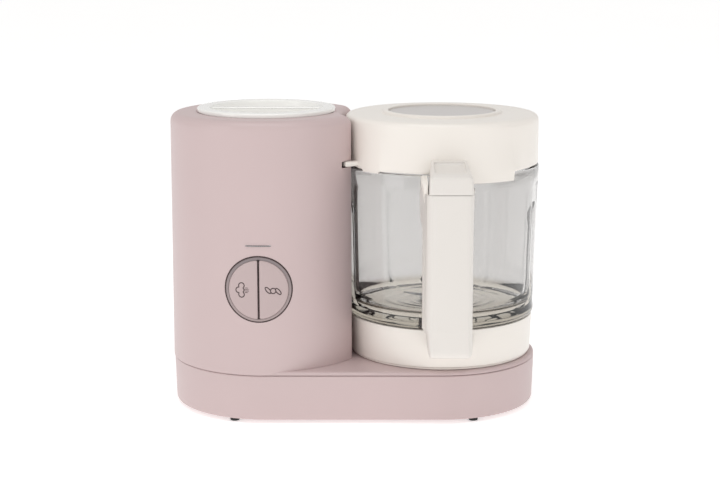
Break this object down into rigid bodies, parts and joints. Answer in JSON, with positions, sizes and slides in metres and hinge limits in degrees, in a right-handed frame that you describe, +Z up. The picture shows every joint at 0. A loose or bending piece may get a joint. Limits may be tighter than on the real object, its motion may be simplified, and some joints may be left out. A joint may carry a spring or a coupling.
{
  "type": "baby food maker",
  "caption": "Steam tower and glass blending jug side by side on a rounded base, with a water tank cap, locking lid, handle, blades and two half-round buttons.",
  "frame": {"origin": "middle of the footprint on the table, under the feet", "axes": "+X from the tower to the jug, +Y to the rear, +Z up; the buttons and the handle face -Y"},
  "size_m": [0.2858, 0.1862, 0.2323],
  "materials": {
    "pink_plastic": "fine matte",
    "cream_plastic": "satin",
    "grey_plastic": "satin",
    "dark_plastic": "satin",
    "glass": "clear, polished",
    "rubber": "matte",
    "silicone": "matte",
    "steel": "satin",
    "dark_chrome": "polished, dark",
    "aluminium": "cast",
    "brass": "turned",
    "circuit_board": "satin"
  },
  "bodies": {
    "base": {"base_tub": "pink_plastic", "deck": "pink_plastic", "tower_shell": "pink_plastic", "foot_front_left": "rubber", "foot_front_right": "rubber", "foot_rear_left": "rubber", "foot_rear_right": "rubber", "base_screw_1": "steel", "base_screw_2": "steel", "base_screw_3": "steel", "base_screw_4": "steel", "motor_mount": "aluminium", "motor_can": "steel", "belt": "rubber", "drive_bush": "brass", "tank": "steel", "heater_plate": "aluminium", "heating_element": "steel", "steam_nozzle": "steel", "nozzle_seal": "silicone", "control_board": "circuit_board", "power_board": "circuit_board", "switch_left": "dark_plastic", "switch_right": "dark_plastic", "bezel": "dark_chrome", "trim_line": "steel", "interlock_switch": "dark_plastic", "cable_gland": "rubber"},
    "rotor": {"motor_shaft": "steel", "motor_pulley": "dark_plastic", "motor_fan": "grey_plastic"},
    "drive": {"drive_shaft": "steel", "drive_pulley": "dark_plastic", "drive_coupling": "dark_plastic"},
    "left_button": {"button_left": "pink_plastic"},
    "right_button": {"button_right": "pink_plastic"},
    "plunger": {"interlock_plunger": "dark_plastic"},
    "cap_ring": {"cap_seal": "silicone"},
    "cap": {"cap_shell": "cream_plastic"},
    "jug_carrier": {"bowl_foot": "cream_plastic"},
    "jug": {"glass_bowl": "glass", "bowl_ring": "cream_plastic", "handle": "cream_plastic", "handle_cover": "cream_plastic", "handle_screw_upper": "steel", "handle_screw_lower": "steel", "blade_bush": "steel", "blade_gasket": "silicone", "blade_nut": "dark_plastic"},
    "blade": {"blade_shaft": "steel", "blade_hub": "grey_plastic", "blade_lower": "steel", "blade_upper": "steel", "blade_cap": "dark_plastic", "jug_coupling": "dark_plastic"},
    "lid_ring": {"lid_seal": "silicone"},
    "lid": {"lid_shell": "cream_plastic", "plug_seal": "silicone"},
    "plug": {"filler_plug": "grey_plastic"}
  },
  "joints": [
    {"name": "jug_lift", "type": "slide", "parent": "base", "child": "jug_carrier", "axis": [0, 0, 1], "range_m": [0, 0.24]},
    {"name": "jug_twist", "type": "hinge", "parent": "jug_carrier", "child": "jug", "pos_m": [0.06775, 0.01495, 0.05], "axis": [0, 0, 1], "range_deg": [0, 30]},
    {"name": "lid_lift", "type": "slide", "parent": "jug", "child": "lid_ring", "axis": [0, 0, 1], "range_m": [0, 0.24]},
    {"name": "lid_twist", "type": "hinge", "parent": "lid_ring", "child": "lid", "pos_m": [0.06775, 0.01495, 0.2], "axis": [0, 0, 1], "range_deg": [0, 20]},
    {"name": "plug_lift", "type": "slide", "parent": "lid", "child": "plug", "axis": [0, 0, 1], "range_m": [0, 0.06]},
    {"name": "cap_lift", "type": "slide", "parent": "base", "child": "cap_ring", "axis": [0, 0, 1], "range_m": [0, 0.06]},
    {"name": "cap_turn", "type": "hinge", "parent": "cap_ring", "child": "cap", "pos_m": [-0.06775, 0.01495, 0.225], "axis": [0, 0, 1], "range_deg": [0, 90]},
    {"name": "button_left_press", "type": "slide", "parent": "base", "child": "left_button", "axis": [0, 1, 0], "range_m": [0, 0.002], "stiffness_N_per_m": 400},
    {"name": "button_right_press", "type": "slide", "parent": "base", "child": "right_button", "axis": [0, 1, 0], "range_m": [0, 0.002], "stiffness_N_per_m": 400},
    {"name": "interlock_press", "type": "slide", "parent": "base", "child": "plunger", "axis": [1, 0, 0], "range_m": [0, 0.0007], "stiffness_N_per_m": 300},
    {"name": "drive_spin", "type": "hinge", "parent": "base", "child": "drive", "pos_m": [0.06775, 0.01495, 0.02], "axis": [0, 0, 1], "continuous": true},
    {"name": "motor_spin", "type": "hinge", "parent": "base", "child": "rotor", "pos_m": [-0.06775, 0.03295, 0.02], "axis": [0, 0, 1], "continuous": true},
    {"name": "blade_spin", "type": "hinge", "parent": "jug", "child": "blade", "pos_m": [0.06775, 0.01495, 0.07], "axis": [0, 0, 1], "continuous": true}
  ],
  "couplings": [
    {"joint": "drive_spin", "follows": "motor_spin", "ratio": 0.4091},
    {"joint": "blade_spin", "follows": "motor_spin", "ratio": 0.4091}
  ]
}
